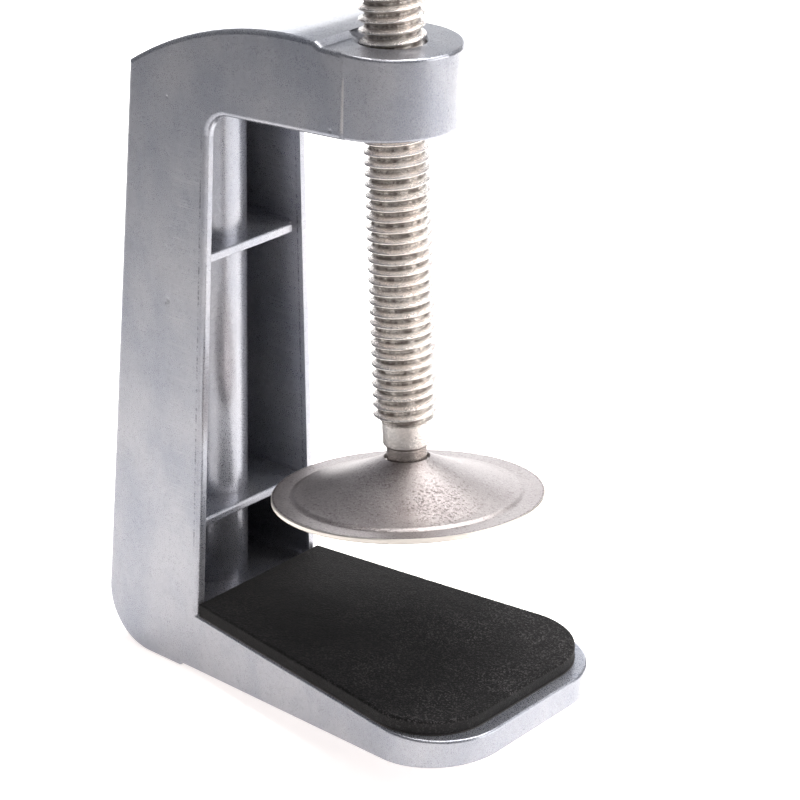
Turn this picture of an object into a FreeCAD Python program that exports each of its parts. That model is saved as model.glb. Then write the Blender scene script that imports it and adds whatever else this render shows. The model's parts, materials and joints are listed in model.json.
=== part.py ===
"""Screw clamp of an airbrush holder stand.

A die-cast C frame carries a vertical post socket in its hollow spine. A screw through the boss
of its upper arm presses a loose steel disc towards the foam-lined lower jaw.

Millimetres, +Z up, +X from the spine to the jaw's tip. The origin is the centre of the post
socket's mouth, on the foot that the frame stands on.
"""
import FreeCAD
import Part
import math
import os

V = FreeCAD.Vector

# --- driving dimensions: frame -------------------------------------------------------------
JAW_TOP = 10.1           # height of the lower jaw's flat face above the foot
THROAT = 80.5            # clear height from the jaw's face to the arm, at the spine
FRONT_COVER = 4.3        # from the socket's barrel to the front edges of the spine's side walls
JAW_REACH = 55.4         # from the throat's back to the jaw's tip
SPINE_HALF = 14.2        # half width of the spine at the foot
SIDE_DRAFT = 0.0392      # how much the half width shrinks per mm of height
JAW_FLARE = 0.14         # how much the jaw's half width grows per mm towards its tip
JAW_ROOT = 3.0           # how far the tongue reaches back into the spine
JAW_CORNER_R = 11.0
JAW_TIP_THICK = 4.0
JAW_ROOT_THICK = 9.4
BACK_FOOT_COVER = 3.1    # how far the spine's back stands behind the barrel, low down
BACK_MID_COVER = 1.3
BACK_CROWN_COVER = -0.4  # where it meets the arch, the barrel is cut flush with the back
BACK_CORNER_R = 9.0
ARM_HEIGHT = 14.7        # from the throat's ceiling to the crown of the arch
SHOULDER_DROP = 10.0     # crown of the arch to its sharp back corner
WALL = 1.6               # cast wall
ROOF = 2.0               # cast roof over the arm's hollow
RIB_THICK = 1.45
RIB_TOPS = (68.2, 25.2)
RIB_SETBACK = 1.2        # rib edges lie behind the walls' edges
RIB_NOTCH = 0.9          # relief at one end of each rib's edge
FOOT_STEP = 0.55         # the foot stands this much below the jaw's underside
BOSS_WALL = 5.26         # round the screw's hole
BOSS_X = 36.4            # screw axis at half the boss's height
BOSS_DROP = 0.6          # boss face below the crown of the arch
LEAN = 3.93              # degrees that the screw leans back towards the spine
HOLE_BEVEL = 0.45        # at both ends of the screw's hole
EDGE_R = 0.75            # outer edges of the spine and arm
POCKET_R = 1.5           # inside edges of the hollow
BOSS_EDGE_R = 0.45
JAW_EDGE_R = 0.4
RIB_EDGE_R = 0.35

# --- driving dimensions: post socket and its lock --------------------------------------------
POST_D = 8.0
POST_CLEAR = 0.1         # radial
SOCKET_WALL = 1.9
SOCKET_STOP = 6.6        # end of the socket below the throat's ceiling
LOCK_Z = 55.0
LOCK_D = 5.0
LOCK_CLEAR = 0.05        # radial
LOCK_PAD_WALL = 3.0      # round the lock screw's hole
LOCK_PAD_EDGE_R = 0.6
LOCK_PAD_PROUD = 3.0
LOCK_SCREW_LEN = 4.7
LOCK_SHOE_LEN = 1.25
LOCK_HEX = 2.5           # across the flats of the key socket
LOCK_HEX_DEPTH = 2.2
LOCK_SETBACK = 0.15      # shoe behind the socket's wall when slack

# --- driving dimensions: screw and handle ----------------------------------------------------
SCREW_D = 9.525
SCREW_CLEAR = 0.08       # radial, in the boss
SHANK_STEP = 1.2325      # radial, thread to shank
SHANK_LEN = 4.1
SHANK_BEVEL = 0.5
NECK_STEP = 0.53         # radial, shank to neck
NECK_GAP = 1.77          # neck seen between the shank and the disc
SCREW_LIFT = 38.1        # thread's lower end above the jaw's face, in height
SCREW_TRAVEL_DOWN = 20.2
HEAD_STEP = 1.7375       # radial, thread to head
HEAD_SHOULDER = 3.5      # head above and below the bar
HEAD_GAP = 2.0           # head over the boss when the screw is right down
HEAD_CHAMFER = 1.0
BAR_D = 5.0
BAR_CLEAR = 0.06         # radial
BAR_LEN = 56.0
CAP_SKIN = 1.2           # round the bar
CAP_EDGE_R = 1.1
CAP_LEN = 6.0
CAP_WALL = 1.4           # closed end of each cap

# --- driving dimensions: pressure disc -------------------------------------------------------
DISC_R = 20.25
DISC_SHEET = 0.8
DISC_HEIGHT = 6.5
DISC_RIM = 2.85          # width of the flat rim
DISC_RING_RUN = 0.6      # width of the step inside the rim
DISC_RING_STEP = 0.45
DISC_CROWN_RUN = 2.85    # from the hole to where the cone turns up
DISC_CROWN_RISE = 2.3
DISC_HOLE_CLEAR = 0.35   # radial, on the neck
DISC_FLOP = 4.4          # degrees that the loose disc has tipped on its neck
DISC_FLOP_AXIS = (-0.796, -0.605, 0.0)
WASHER_RING = 1.6        # from the neck to the washer's edge
WASHER_THICK = 0.8
WASHER_GAP = 1.4         # below the sheet at the hole
WASHER_CLEAR = 0.06      # radial, on the neck
WASHER_FLOAT = 0.05      # between the washer and the peened end
PEEN_LIP = 1.0           # radial, over the neck
PEEN_TAPER = 0.9
PEEN_LEN = 1.1

# --- driving dimensions: pad -----------------------------------------------------------------
PAD_THICK = 2.15
FILM_THICK = 0.15
PAD_BACK_GAP = 0.3
PAD_SIDE_GAP = 0.2
PAD_TIP_GAP = 2.3
PAD_CORNER_STEP = 0.8    # pad's corner radius less than the jaw's

# --- derived ---------------------------------------------------------------------------------
CEILING = JAW_TOP + THROAT
CROWN = CEILING + ARM_HEIGHT
BOSS_TOP = CROWN - BOSS_DROP
SOCKET_R = POST_D / 2.0 + POST_CLEAR
SOCKET_DEPTH = CEILING - SOCKET_STOP
BARREL_R = SOCKET_R + SOCKET_WALL
THROAT_X = BARREL_R + FRONT_COVER
TIP_X = THROAT_X + JAW_REACH
SLOPE = math.tan(math.radians(LEAN))
LEAN_COS = math.cos(math.radians(LEAN))
BOSS_UNDER = CEILING + SLOPE * (BOSS_X - THROAT_X)
BOSS_MID = (BOSS_UNDER + BOSS_TOP) / 2.0
HOLE_R = SCREW_D / 2.0 + SCREW_CLEAR
BOSS_R = HOLE_R + BOSS_WALL
SHANK_R = SCREW_D / 2.0 - SHANK_STEP
NECK_R = SHANK_R - NECK_STEP
HEAD_R = SCREW_D / 2.0 + HEAD_STEP
HEAD_LEN = BAR_D + 2.0 * HEAD_SHOULDER
DISC_HOLE_R = NECK_R + DISC_HOLE_CLEAR
FAR = 200.0              # reaches past the part


def half_width(z):
    """Half width of the drafted spine and arm at a height."""
    return SPINE_HALF - SIDE_DRAFT * z


def line(a, b):
    return Part.LineSegment(V(*a), V(*b)).toShape()


def arc(a, b, c):
    return Part.Arc(V(*a), V(*b), V(*c)).toShape()


def side(x, z):
    """A point of a side profile."""
    return (x, -FAR / 2.0, z)


def across(edges):
    """Solid across the whole width from a closed side profile."""
    return Part.Face(Part.Wire(edges)).extrude(V(0, FAR, 0))


def drafted(inset, top=CROWN + 20.0):
    """Wedge that gives the spine and arm their drafted width, less an inset on each side."""
    low = half_width(0.0) - inset
    high = half_width(top) - inset
    corners = [V(-FAR / 2, -low, 0), V(-FAR / 2, low, 0), V(-FAR / 2, high, top), V(-FAR / 2, -high, top)]
    return Part.Face(Part.makePolygon(corners + corners[:1])).extrude(V(FAR, 0, 0))


def box(x0, x1, y0, y1, z0, z1):
    return Part.makeBox(x1 - x0, y1 - y0, z1 - z0, V(x0, y0, z0))


def rod(radius, base, length, direction=V(0, 0, 1)):
    return Part.makeCylinder(radius, length, V(*base), direction)


# The screw's own line: distances are measured up the line from the point level with the foot.
SCREW_DIR = V(-SLOPE, 0, 1).normalize()
SCREW_FOOT = V(BOSS_X + SLOPE * BOSS_MID, 0, 0)


def on_screw(shape):
    """Moves a shape made about +Z at the origin onto the screw's leaning line."""
    turned = shape.copy()
    turned.Placement = FreeCAD.Placement(SCREW_FOOT, FreeCAD.Rotation(V(0, 1, 0), -LEAN))
    return turned


def up(z):
    """Distance up the screw's line for a height."""
    return z / LEAN_COS


# --- frame -----------------------------------------------------------------------------------
def back_points(inset=0.0):
    """Low, middle and high point of the spine's slightly bowed back."""
    low = (inset - BARREL_R - BACK_FOOT_COVER, BACK_CORNER_R)
    high = (inset - BARREL_R - BACK_CROWN_COVER, CROWN - SHOULDER_DROP)
    middle = (inset - BARREL_R - BACK_MID_COVER, (low[1] + high[1]) / 2.0)
    return low, middle, high


def arch_points(inset=0.0):
    """Back corner, middle and crown end of the arch over the arm."""
    start = (back_points()[2][0], CROWN - SHOULDER_DROP - inset)
    end = (BOSS_X - 6.2, CROWN - inset)
    middle = ((start[0] + end[0]) / 2.0, CROWN - 0.2 * SHOULDER_DROP - inset)
    return start, middle, end


def arch_height(x, inset):
    """Height of the arch, less an inset, at a distance from the socket."""
    start, middle, end = arch_points(inset)
    circle = arc((start[0], 0, start[1]), (middle[0], 0, middle[1]), (end[0], 0, end[1])).Curve
    return circle.Center.z + math.sqrt(circle.Radius ** 2 - (x - circle.Center.x) ** 2)


def on_side_faces(edge):
    """True for an edge that runs along one drafted side face, outer or of the hollow."""
    ends = [vertex.Point for vertex in edge.Vertexes]
    insets = [half_width(end.z) - abs(end.y) for end in ends]
    same_side = min(end.y for end in ends) > 0 or max(end.y for end in ends) < 0
    return same_side and all(min(abs(inset), abs(inset - WALL)) < 1e-3 for inset in insets)


def rounded(shape, radius, chosen):
    """Rounds the edges of a shape that a test chooses."""
    solid = shape.Solids[0]
    return solid.makeFillet(radius, [edge for edge in solid.Edges if chosen(edge)]).Solids[0]


def spine_and_arm():
    low, middle, high = back_points()
    start, crest, end = arch_points()
    corner = (low[0] + BACK_CORNER_R, 0.0)
    bend = BACK_CORNER_R * (1.0 - math.sqrt(0.5))
    boss_face = (end[0] + 2.0 * BOSS_DROP, BOSS_TOP)
    arm_x = BOSS_X - 0.4
    fillet = 3.6
    foot_end = BARREL_R + 0.5
    root_under = JAW_TOP - JAW_ROOT_THICK
    step_end = (foot_end + 1.2 * FOOT_STEP, FOOT_STEP)
    under = [
        (arm_x, CEILING + SLOPE * (arm_x - THROAT_X)),
        (THROAT_X + fillet, CEILING + SLOPE * fillet),
    ]
    elbow = (THROAT_X + fillet * (1 - math.sqrt(0.5)), CEILING - fillet * (1 - math.sqrt(0.5)))
    wall_top = (THROAT_X, CEILING - fillet)
    edges = [
        arc(side(*corner), side(low[0] + bend, bend), side(*low)),
        arc(side(*low), side(*middle), side(*high)),
        arc(side(*start), side(*crest), side(*end)),
        line(side(*end), side(*boss_face)),
        line(side(*boss_face), side(arm_x, BOSS_TOP)),
        line(side(arm_x, BOSS_TOP), side(*under[0])),
        line(side(*under[0]), side(*under[1])),
        arc(side(*under[1]), side(*elbow), side(*wall_top)),
        line(side(*wall_top), side(THROAT_X, root_under)),
        line(side(THROAT_X, root_under), side(*step_end)),
        line(side(*step_end), side(foot_end, 0.0)),
        line(side(foot_end, 0.0), side(*corner)),
    ]
    return rounded(across(edges).common(drafted(0.0)), EDGE_R, on_side_faces)


def boss():
    column = rod(BOSS_R, (BOSS_X - 0.4, 0, BOSS_UNDER - 20), BOSS_TOP - BOSS_UNDER + 20)
    below = Part.makeBox(FAR, FAR, FAR, V(-FAR / 2, -FAR / 2, -FAR))
    below.Placement = FreeCAD.Placement(V(BOSS_X, 0, BOSS_UNDER), FreeCAD.Rotation(V(0, 1, 0), -LEAN))
    return rounded(column.cut(below), BOSS_EDGE_R, lambda edge: edge.Closed)


def jaw_outline(z, back, half, tip, corner_r):
    """Closed plan of a flared tongue with a straight tip and round corners."""
    flare = math.atan(JAW_FLARE)
    centre_x = tip - corner_r
    side_there = half + JAW_FLARE * (centre_x - back)
    centre_y = side_there - corner_r / math.cos(flare)
    edges = []
    leave = []
    for sign in (-1, 1):
        points = []
        for angle in (90.0 + math.degrees(flare), 45.0 + math.degrees(flare) / 2.0, 0.0):
            turn = math.radians(angle)
            across_y = centre_y + corner_r * math.sin(turn)
            points.append((centre_x + corner_r * math.cos(turn), sign * across_y, z))
        leave.append(points)
    near, far = leave
    edges.append(line((back, -half, z), near[0]))
    edges.append(arc(*near))
    edges.append(line(near[2], far[2]))
    edges.append(arc(far[2], far[1], far[0]))
    edges.append(line(far[0], (back, half, z)))
    edges.append(line((back, half, z), (back, -half, z)))
    return Part.Wire(edges)


def round_the_tongue(edge, level):
    """True for an edge round the tongue at a level, or round its sloped underside with no level."""
    heights = [vertex.Point.z for vertex in edge.Vertexes]
    forward = max(vertex.Point.x for vertex in edge.Vertexes) > THROAT_X
    if level is None:
        return forward and max(heights) < JAW_TOP - JAW_TIP_THICK / 2.0
    return forward and all(abs(height - level) < 1e-3 for height in heights)


def jaw():
    sections = []
    for z in (0.0, JAW_TOP):
        grow = SIDE_DRAFT * (JAW_TOP - z)
        half = half_width(z) - JAW_FLARE * (JAW_ROOT - EDGE_R)
        sections.append(jaw_outline(z, THROAT_X - JAW_ROOT, half, TIP_X + grow, JAW_CORNER_R))
    tongue = Part.makeLoft(sections, True, True)
    root = (THROAT_X - 5.0, JAW_TOP - JAW_ROOT_THICK)
    tip = (TIP_X + 5.0, JAW_TOP - JAW_TIP_THICK + 5.0 * (JAW_ROOT_THICK - JAW_TIP_THICK) / JAW_REACH)
    start_z = root[1] - 5.0 * (JAW_ROOT_THICK - JAW_TIP_THICK) / JAW_REACH
    profile = [side(root[0], start_z), side(*tip), side(tip[0], JAW_TOP), side(root[0], JAW_TOP)]
    edges = [line(profile[i], profile[(i + 1) % 4]) for i in range(4)]
    tongue = tongue.common(across(edges))
    for level in (JAW_TOP, None):
        tongue = rounded(tongue, JAW_EDGE_R, lambda edge: round_the_tongue(edge, level))
    return tongue


def hollow():
    """Room inside the spine, open to the front, and inside the arm, open below."""
    low, middle, high = back_points(WALL)
    floor_back = (low[0], JAW_TOP)
    roof_end_x = BOSS_X - BOSS_R - 2.0
    roof = []
    for x in (high[0], (high[0] + roof_end_x) / 2.0, roof_end_x):
        roof.append(side(x, arch_height(x, ROOF)))
    edges = [
        arc(side(*floor_back), side(*middle), roof[0]),
        arc(*roof),
        line(roof[2], side(roof_end_x, JAW_TOP)),
        line(side(roof_end_x, JAW_TOP), side(*floor_back)),
    ]
    room = across(edges).common(drafted(WALL))
    return rounded(room, POCKET_R, lambda edge: on_side_faces(edge) and reaches_back(edge, roof_end_x))


def reaches_back(edge, front):
    """True for an edge that does not lie wholly at the hollow's open front."""
    return min(vertex.Point.x for vertex in edge.Vertexes) < front - 1.0


def along_front(edge, front):
    """True for a long edge on a rib's front."""
    return edge.BoundBox.XMin > front - 1e-3 and edge.Length > FAR / 2.0


def ribs(envelope):
    plates = []
    for top in RIB_TOPS:
        front = THROAT_X - RIB_SETBACK
        plate = box(-FAR / 2, front, -FAR / 2, FAR / 2, top - RIB_THICK, top)
        plate = rounded(plate, RIB_EDGE_R, lambda edge: along_front(edge, front))
        inner = half_width(top) - WALL
        notch = box(front - RIB_NOTCH, FAR, inner - RIB_NOTCH, inner, top - FAR, top + FAR)
        plates.append(plate.common(envelope).cut(notch))
    return plates


def lock_line_shape(radius, x0, x1):
    return rod(radius, (x0, 0, LOCK_Z), x1 - x0, V(1, 0, 0))


def back_face_x(z):
    """Back face of the spine at a height, by the chord between its ends."""
    low, middle, high = back_points()
    return low[0] + (high[0] - low[0]) * (z - low[1]) / (high[1] - low[1])


LOCK_OUT_X = back_face_x(LOCK_Z) - LOCK_PAD_PROUD


def hole_bevel(way, level):
    """Cone that breaks the edge of the screw's hole at one end, opening up (1) or down (-1)."""
    reach = HOLE_BEVEL + 1.0
    start = V(0, 0, level - way * HOLE_BEVEL)
    return on_screw(Part.makeCone(HOLE_R, HOLE_R + reach, reach, start, V(0, 0, way)))


def clamp_frame():
    envelope = spine_and_arm()
    body = envelope.cut(hollow())
    barrel = rod(BARREL_R, (0, 0, 0), FAR).common(envelope)
    lock_pad = lock_line_shape(LOCK_D / 2.0 + LOCK_PAD_WALL, LOCK_OUT_X, -SOCKET_R)
    outer_end = LOCK_OUT_X + 1.0
    lock_pad = rounded(lock_pad, LOCK_PAD_EDGE_R, lambda e: e.Closed and e.BoundBox.XMax < outer_end)
    body = body.fuse([barrel, lock_pad, boss(), jaw()] + ribs(envelope))
    body = body.cut(rod(SOCKET_R, (0, 0, -1), SOCKET_DEPTH + 1))
    body = body.cut(lock_line_shape(LOCK_D / 2.0 + LOCK_CLEAR, LOCK_OUT_X - 1, 0))
    body = body.cut(on_screw(rod(HOLE_R, (0, 0, up(BOSS_UNDER) - 20), 60)))
    return body.cut(hole_bevel(1, up(BOSS_TOP))).cut(hole_bevel(-1, up(BOSS_UNDER))).removeSplitter()


# --- screw and handle --------------------------------------------------------------------------
THREAD_LOW = up(JAW_TOP + SCREW_LIFT)
SHANK_LOW = THREAD_LOW - SHANK_LEN
DISC_TOP = SHANK_LOW - NECK_GAP
WASHER_TOP = DISC_TOP - DISC_SHEET - WASHER_GAP
WASHER_LOW = WASHER_TOP - WASHER_THICK
PEEN_TOP = WASHER_LOW - WASHER_FLOAT
HEAD_LOW = up(BOSS_TOP) + SCREW_TRAVEL_DOWN + HEAD_GAP
BAR_AT = HEAD_LOW + HEAD_LEN / 2.0


def bar_line(radius, y0, y1):
    """Round bar along Y at the middle of the head."""
    centre = SCREW_FOOT + SCREW_DIR * BAR_AT
    return rod(radius, (centre.x, y0, centre.z), y1 - y0, V(0, 1, 0))


def clamp_screw():
    thread = rod(SCREW_D / 2.0, (0, 0, THREAD_LOW), HEAD_LOW - THREAD_LOW + 1)
    shank = rod(SHANK_R, (0, 0, SHANK_LOW), SHANK_LEN + 1)
    lower = [e for e in shank.Edges if e.Closed and e.BoundBox.ZMax < SHANK_LOW + 1]
    shank = shank.makeChamfer(SHANK_BEVEL, lower)
    neck = rod(NECK_R, (0, 0, PEEN_TOP), SHANK_LOW - PEEN_TOP + 1)
    peen_r = NECK_R + PEEN_LIP
    peen = Part.makeCone(peen_r - PEEN_TAPER, peen_r, PEEN_LEN, V(0, 0, PEEN_TOP - PEEN_LEN))
    head = rod(HEAD_R, (0, 0, HEAD_LOW), HEAD_LEN)
    head = head.makeChamfer(HEAD_CHAMFER, [e for e in head.Edges if e.Closed])
    body = thread.fuse([shank, neck, peen, head]).removeSplitter()
    return on_screw(body).cut(bar_line(BAR_D / 2.0 + BAR_CLEAR, -FAR / 2, FAR / 2))


def tommy_bar():
    return bar_line(BAR_D / 2.0, -BAR_LEN / 2.0, BAR_LEN / 2.0)


def bar_cap(sign):
    """Cap pushed over one end of the bar."""
    inner = BAR_LEN / 2.0 - CAP_LEN + CAP_WALL
    outer = BAR_LEN / 2.0 + CAP_WALL
    low, high = sorted((sign * inner, sign * outer))
    cap = bar_line(BAR_D / 2.0 + CAP_SKIN, low, high)
    cap = cap.makeFillet(CAP_EDGE_R, [e for e in cap.Edges if e.Closed])
    return cap.cut(tommy_bar())


# --- pressure disc -------------------------------------------------------------------------------
def disc_profile(lift):
    """Radius and height pairs of one face of the stamped sheet, from the rim to the hole."""
    rim_z = DISC_TOP - DISC_HEIGHT
    ring_r = DISC_R - DISC_RIM
    return [
        (DISC_R, rim_z + lift),
        (ring_r, rim_z + lift),
        (ring_r - DISC_RING_RUN, rim_z + DISC_RING_STEP + lift),
        (DISC_HOLE_R + DISC_CROWN_RUN, DISC_TOP - DISC_CROWN_RISE - DISC_SHEET + lift),
        (DISC_HOLE_R, DISC_TOP - DISC_SHEET + lift),
    ]


def flopped(shape):
    """Tips a shape on the screw's neck, as the loose disc hangs."""
    pivot = SCREW_FOOT + SCREW_DIR * (DISC_TOP - DISC_SHEET / 2.0)
    turned = shape.copy()
    turned.rotate(pivot, V(*DISC_FLOP_AXIS), DISC_FLOP)
    return turned


def pressure_disc():
    under = disc_profile(0.0)
    over = disc_profile(DISC_SHEET)
    outline = [V(r, 0, z) for r, z in under + over[::-1]]
    face = Part.Face(Part.makePolygon(outline + outline[:1]))
    return flopped(on_screw(face.revolve(V(0, 0, 0), V(0, 0, 1), 360)))


def disc_washer():
    ring = rod(NECK_R + WASHER_RING, (0, 0, WASHER_LOW), WASHER_THICK)
    return on_screw(ring.cut(rod(NECK_R + WASHER_CLEAR, (0, 0, WASHER_LOW - 1), WASHER_THICK + 2)))


# --- pad -----------------------------------------------------------------------------------------
def pad_plan(z):
    back = THROAT_X + PAD_BACK_GAP
    half = half_width(JAW_TOP) + JAW_FLARE * PAD_BACK_GAP - PAD_SIDE_GAP
    return jaw_outline(z, back, half, TIP_X - PAD_TIP_GAP, JAW_CORNER_R - PAD_CORNER_STEP)


def pad_film():
    return Part.Face(pad_plan(JAW_TOP)).extrude(V(0, 0, FILM_THICK))


def foam_pad():
    return Part.Face(pad_plan(JAW_TOP + FILM_THICK)).extrude(V(0, 0, PAD_THICK))


# --- post lock -----------------------------------------------------------------------------------
SHOE_FRONT = -SOCKET_R - LOCK_SETBACK
SHOE_BACK = SHOE_FRONT - LOCK_SHOE_LEN


def lock_shoe():
    return lock_line_shape(LOCK_D / 2.0 - LOCK_CLEAR, SHOE_BACK, SHOE_FRONT)


def lock_screw():
    back = SHOE_BACK - LOCK_SCREW_LEN
    body = lock_line_shape(LOCK_D / 2.0, back, SHOE_BACK)
    corner = LOCK_HEX / math.sqrt(3.0)
    points = []
    for step in range(7):
        turn = math.radians(60.0 * step)
        points.append(V(back, corner * math.cos(turn), LOCK_Z + corner * math.sin(turn)))
    key = Part.Face(Part.makePolygon(points)).extrude(V(LOCK_HEX_DEPTH, 0, 0))
    return body.cut(key)


PARTS = {
    "clamp_frame": clamp_frame,
    "clamp_screw": clamp_screw,
    "tommy_bar": tommy_bar,
    "bar_cap_near": lambda: bar_cap(-1),
    "bar_cap_far": lambda: bar_cap(1),
    "pressure_disc": pressure_disc,
    "disc_washer": disc_washer,
    "foam_pad": foam_pad,
    "pad_film": pad_film,
    "lock_shoe": lock_shoe,
    "lock_screw": lock_screw,
}

os.makedirs("parts", exist_ok=True)
for name, make in PARTS.items():
    shape = make()
    shape.exportStep(os.path.join("parts", name + ".step"))
    bounds = shape.BoundBox
    print("%-14s solids %d valid %s volume %9.1f  x %.2f..%.2f y %.2f..%.2f z %.2f..%.2f" % (
        name, len(shape.Solids), shape.isValid(), shape.Volume,
        bounds.XMin, bounds.XMax, bounds.YMin, bounds.YMax, bounds.ZMin, bounds.ZMax))
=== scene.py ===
"""Screw clamp of an airbrush holder stand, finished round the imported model. Metres, +Z up, +X from
the spine to the jaw's tip."""
import json
import math
import bmesh
import bpy
from mathutils import Matrix, Vector
from mathutils.noise import fractal


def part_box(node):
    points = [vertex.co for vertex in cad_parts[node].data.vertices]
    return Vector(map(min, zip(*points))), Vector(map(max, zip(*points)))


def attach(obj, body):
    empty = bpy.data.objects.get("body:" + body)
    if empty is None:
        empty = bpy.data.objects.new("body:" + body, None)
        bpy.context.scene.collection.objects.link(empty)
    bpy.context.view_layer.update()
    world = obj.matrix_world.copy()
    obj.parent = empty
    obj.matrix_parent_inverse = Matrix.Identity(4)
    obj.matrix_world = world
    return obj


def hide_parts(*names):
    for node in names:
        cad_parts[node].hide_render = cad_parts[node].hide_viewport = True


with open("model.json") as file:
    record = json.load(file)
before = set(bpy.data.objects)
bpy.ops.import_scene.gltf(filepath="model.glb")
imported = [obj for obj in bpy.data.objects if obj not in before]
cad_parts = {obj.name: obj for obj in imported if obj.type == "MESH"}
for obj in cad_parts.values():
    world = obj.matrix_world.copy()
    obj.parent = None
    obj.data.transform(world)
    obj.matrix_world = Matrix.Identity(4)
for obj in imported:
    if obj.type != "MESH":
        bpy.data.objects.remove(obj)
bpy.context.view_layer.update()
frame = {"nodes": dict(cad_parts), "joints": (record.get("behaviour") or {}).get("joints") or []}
nodes = frame["nodes"]
joints = {joint["name"]: joint for joint in frame["joints"]}
scene = bpy.context.scene

# --- camera ---------------------------------------------------------------------------------
# A long lens above the jaw's near corner, rolled very slightly. Its place is a turn, a rise and a
# distance from a point in the throat.
azimuth, elevation, roll = math.radians(39.70), math.radians(24.02), math.radians(1.25)
aim = Vector((0.03914, -0.00052, 0.05109))
distance = 0.3957
back = Vector((math.sin(azimuth) * math.cos(elevation), -math.cos(azimuth) * math.cos(elevation),
               math.sin(elevation)))
level = Vector((math.cos(azimuth), math.sin(azimuth), 0.0))
right = math.cos(roll) * level + math.sin(roll) * back.cross(level)
camera_data = bpy.data.cameras.new("camera")
camera_data.lens = 122.2
camera_data.sensor_width = 36.0
camera_data.clip_start = 0.01
camera = bpy.data.objects.new("camera", camera_data)
camera.matrix_world = Matrix.Translation(aim + distance * back) @ Matrix(
    (right, back.cross(right), back)).transposed().to_4x4()
scene.collection.objects.link(camera)
scene.camera = camera

# --- table and light ------------------------------------------------------------------------
# A matt white sheet lit from below round the object, with a soft box on the right, one over the back
# of the sheet, a low white card behind, a weak box above the front, and a dim bluish room.
table_size = 6.0
pool_middle = (0.15, -0.02, 0.0)
pool_inner, pool_outer = 0.05, 0.42
pool_strength, rim_strength = 0.62, 0.08
seen_strength = 0.72
room_strength, room_seen_extra = 0.22, 1.15
table_mesh = bpy.data.meshes.new("table")
corners = [(x * table_size, y * table_size, 0.0) for x, y in ((-1, -1), (1, -1), (1, 1), (-1, 1))]
table_mesh.from_pydata(corners, [], [(0, 1, 2, 3)])
table = bpy.data.objects.new("table", table_mesh)
scene.collection.objects.link(table)
table_paint = bpy.data.materials.new("table_white")
table_paint.use_nodes = True
shader = table_paint.node_tree.nodes["Principled BSDF"]
shader.inputs["Base Color"].default_value = (0.86, 0.855, 0.85, 1.0)
shader.inputs["Roughness"].default_value = 0.9
shader.inputs["Specular IOR Level"].default_value = 0.1
shader.inputs["Emission Color"].default_value = (1.0, 0.935, 0.905, 1.0)
tree = table_paint.node_tree
away = tree.nodes.new("ShaderNodeVectorMath")
away.operation = "DISTANCE"
tree.links.new(tree.nodes.new("ShaderNodeTexCoord").outputs["Object"], away.inputs[0])
away.inputs[1].default_value = pool_middle
glow = tree.nodes.new("ShaderNodeMapRange")
glow.interpolation_type = "SMOOTHSTEP"
for label, number in (("From Min", pool_inner), ("From Max", pool_outer),
                      ("To Min", pool_strength), ("To Max", rim_strength)):
    glow.inputs[label].default_value = number
tree.links.new(away.outputs["Value"], glow.inputs["Value"])
# Seen directly, the sheet stays pale all the way to the horizon.
seen = tree.nodes.new("ShaderNodeMath")
seen.operation = "MULTIPLY"
seen.inputs[1].default_value = seen_strength
tree.links.new(tree.nodes.new("ShaderNodeLightPath").outputs["Is Camera Ray"], seen.inputs[0])
pale = tree.nodes.new("ShaderNodeMath")
pale.operation = "MAXIMUM"
tree.links.new(glow.outputs["Result"], pale.inputs[0])
tree.links.new(seen.outputs[0], pale.inputs[1])
tree.links.new(pale.outputs[0], shader.inputs["Emission Strength"])
table_mesh.materials.append(table_paint)

room = bpy.data.worlds.new("room")
room.use_nodes = True
tree = room.node_tree
tree.nodes["Background"].inputs["Color"].default_value = (0.62, 0.64, 0.70, 1.0)
sky = tree.nodes.new("ShaderNodeMath")
sky.operation = "MULTIPLY_ADD"
sky.inputs[1].default_value = room_seen_extra
sky.inputs[2].default_value = room_strength
tree.links.new(tree.nodes.new("ShaderNodeLightPath").outputs["Is Camera Ray"], sky.inputs[0])
tree.links.new(sky.outputs[0], tree.nodes["Background"].inputs["Strength"])
scene.world = room
scene.view_settings.view_transform = "Standard"


def soft_box(name, place, target, width, height, power, colour, spread=180.0):
    """Area light facing a target, its beam held in by a grid to a spread in degrees; not seen itself."""
    data = bpy.data.lights.new(name, "AREA")
    data.shape = "RECTANGLE"
    data.size, data.size_y = width, height
    data.energy = power
    data.color = colour
    data.spread = math.radians(spread)
    lamp = bpy.data.objects.new(name, data)
    lamp.location = place
    lamp.visible_camera = False
    lamp.rotation_euler = (Vector(place) - Vector(target)).to_track_quat("Z", "Y").to_euler()
    scene.collection.objects.link(lamp)


soft_box("right_box", (0.60, 0.30, 0.22), aim, 0.50, 0.50, 2.6, (1.0, 0.985, 0.97))
soft_box("table_box", (-0.02, 0.20, 0.46), (-0.10, 0.30, 0.0), 0.40, 0.40, 3.2, (1.0, 0.99, 0.98), 120.0)
soft_box("back_card", (-0.17, 0.27, 0.11), (0.04, 0.0, 0.05), 0.34, 0.15, 0.38, (0.97, 0.98, 1.0))
soft_box("top_box", (0.30, -0.30, 0.75), aim, 0.45, 0.45, 0.8, (1.0, 0.99, 0.98))


# --- clamp frame ----------------------------------------------------------------------------
# One die casting in zinc alloy, tumbled and sprayed with a silver-grey lacquer: fine flake, faint
# file marks where the flash was cleaned off, small dings from handling.
def new_group(name, inputs, outputs):
    """Shader node group with its sockets; returns the tree, its input node and its output node."""
    tree = bpy.data.node_groups.new(name, "ShaderNodeTree")
    for label, kind, value in inputs:
        socket = tree.interface.new_socket(label, in_out="INPUT", socket_type="NodeSocket" + kind)
        if value is not None:
            socket.default_value = value
    for label, kind in outputs:
        tree.interface.new_socket(label, in_out="OUTPUT", socket_type="NodeSocket" + kind)
    return tree, tree.nodes.new("NodeGroupInput"), tree.nodes.new("NodeGroupOutput")


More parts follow.
